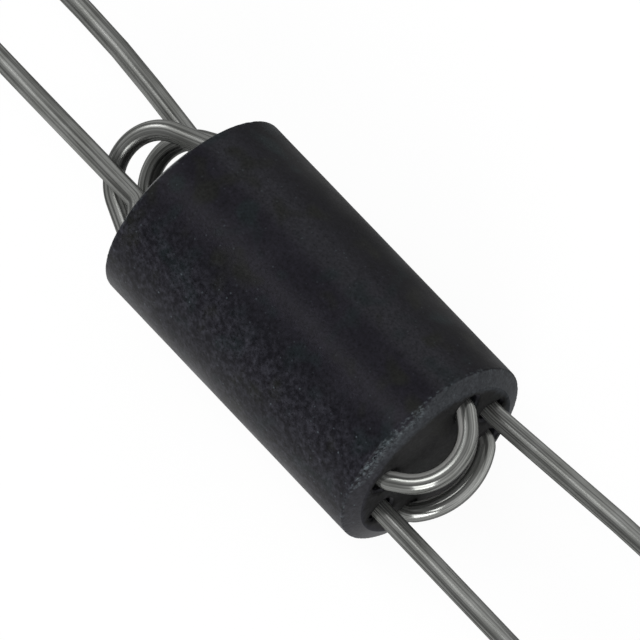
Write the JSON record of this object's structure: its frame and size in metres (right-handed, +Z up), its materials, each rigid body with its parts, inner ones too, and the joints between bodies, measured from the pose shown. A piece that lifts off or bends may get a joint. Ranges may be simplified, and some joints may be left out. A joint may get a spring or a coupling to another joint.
{
  "type": "common mode choke",
  "caption": "Axial common mode choke: tinned copper wires looped through the bores of a cylindrical ferrite bead, with leads at both ends.",
  "frame": {"origin": "middle of the bead, on its own axis", "axes": "+X along the bead towards its near end, where the wires leave by the two middle holes; +Y across those two holes; +Z up, towards the near loop of winding a"},
  "size_m": [0.0382, 0.006, 0.006],
  "materials": {
    "ferrite": "matt dark grey fired ferrite, finely speckled, with a paler bevel round each end",
    "tinned_copper": "bright drawn and tinned wire, grey, with fine lengthwise drawing lines"
  },
  "bodies": {
    "root": {"ferrite_core": "ferrite", "winding_a": "tinned_copper", "winding_b": "tinned_copper"}
  },
  "joints": []
}
